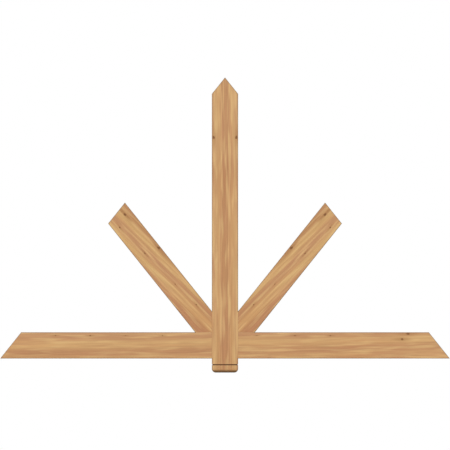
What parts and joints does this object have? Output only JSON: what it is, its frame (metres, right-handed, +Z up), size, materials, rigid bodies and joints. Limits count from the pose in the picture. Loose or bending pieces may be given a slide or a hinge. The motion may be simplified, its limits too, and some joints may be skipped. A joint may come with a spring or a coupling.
{
  "type": "timber gable bracket",
  "caption": "Triangular timber truss for the peak of a gable: a pitch-cut tie beam crossed by a pointed post with a grooved foot, and a diagonal strut on each side.",
  "frame": {"origin": "middle of the post's foot, at its underside, halfway between the front and back faces", "axes": "+X along the tie beam towards the right as seen from the front, +Y from the front face to the back face, +Z up the post towards the peak"},
  "size_m": [1.524, 0.0888, 1.0001],
  "materials": {
    "post_timber": "smooth planed cedar, unfinished",
    "beam_timber": "smooth planed cedar, unfinished",
    "left_strut_timber": "smooth planed cedar, unfinished",
    "right_strut_timber": "smooth planed cedar, unfinished"
  },
  "bodies": {
    "root": {"king_post": "post_timber", "tie_beam": "beam_timber", "left_strut": "left_strut_timber", "right_strut": "right_strut_timber"}
  },
  "joints": []
}
